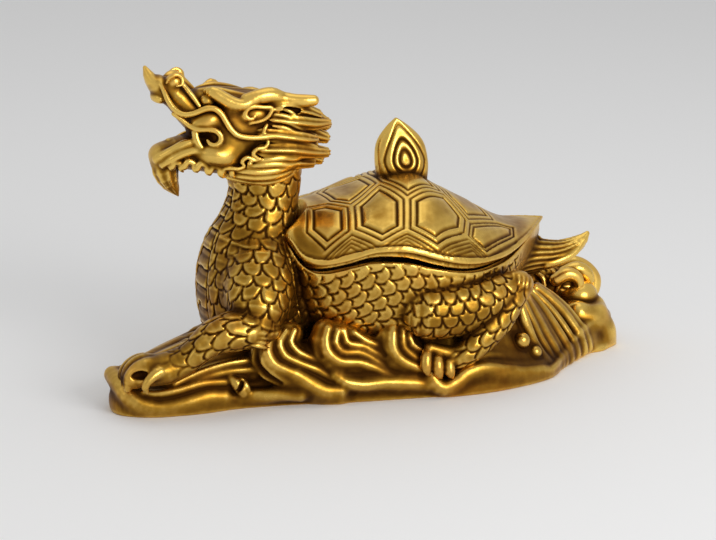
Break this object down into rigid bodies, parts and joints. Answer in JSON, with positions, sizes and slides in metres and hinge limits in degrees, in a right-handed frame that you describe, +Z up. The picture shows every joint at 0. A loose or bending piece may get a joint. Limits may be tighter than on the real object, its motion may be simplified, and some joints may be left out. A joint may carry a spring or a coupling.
{
  "type": "dragon turtle incense box",
  "caption": "Cast dragon turtle crouching on a base of waves, its hollow bowl of a body closed by a lift-off tortoise-shell lid with a flame knob.",
  "frame": {"origin": "under the middle of the whole figure, on the surface it stands on", "axes": "-X is the way the dragon looks and walks, +X its tail, -Y its right-hand side, +Z up"},
  "size_m": [0.1904, 0.081, 0.1086],
  "materials": {
    "brass": "polished antique brass, dark in the recesses",
    "lid_brass": "satin antique brass, dark in the grooves"
  },
  "bodies": {
    "root": {"body": "brass", "shell_lid": "lid_brass"}
  },
  "joints": []
}
